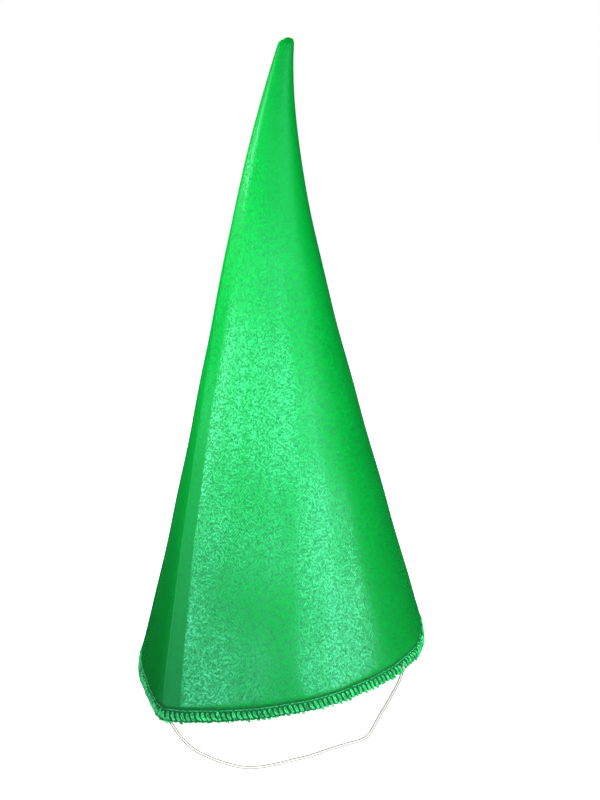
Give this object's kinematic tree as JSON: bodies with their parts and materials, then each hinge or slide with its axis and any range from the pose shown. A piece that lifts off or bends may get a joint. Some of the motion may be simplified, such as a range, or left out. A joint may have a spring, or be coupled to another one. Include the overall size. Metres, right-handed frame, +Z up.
{
  "type": "pointed costume hat",
  "caption": "Tall pointed satin costume hat without a brim, gently curved, with an overlocked rim and a round chin elastic.",
  "frame": {"origin": "centre of the rim plane, at the lower edge of the rim, where the head goes in", "axes": "+Z up from the rim plane towards the tip, -Y to the front, +X to the side that the tip leans to"},
  "size_m": [0.1703, 0.1725, 0.4235],
  "materials": {
    "satin": "green polyester satin with a fine slanting weave and a bright sheen",
    "foam": "thin soft foam, matte",
    "lining": "thin knitted backing, matte",
    "thread": "glossy green overlock thread",
    "white_thread": "white sewing thread",
    "elastic": "white braided cover over a rubber core"
  },
  "bodies": {
    "hat": {"satin_front_panel": "satin", "satin_back_panel": "satin", "foam_front_panel": "foam", "foam_back_panel": "foam", "lining_front_panel": "lining", "lining_back_panel": "lining", "front_seam_allowance": "lining", "back_seam_allowance": "lining", "front_seam_needle_thread": "thread", "back_seam_needle_thread": "thread", "front_seam_looper_thread": "thread", "back_seam_looper_thread": "thread", "rim_needle_thread": "thread", "rim_upper_looper_thread": "thread", "rim_lower_looper_thread": "thread", "elastic_end_left": "elastic", "elastic_end_right": "elastic", "elastic_knot_left": "elastic", "elastic_knot_right": "elastic", "elastic_tack_left": "white_thread", "elastic_tack_right": "white_thread"},
    "chin_elastic": {"elastic_cord": "elastic"}
  },
  "joints": [
    {"name": "chin_elastic_swing", "type": "hinge", "parent": "hat", "child": "chin_elastic", "pos_m": [0, -0.033, -0.0015], "axis": [1, 0, 0], "range_deg": [-75, 75]}
  ]
}
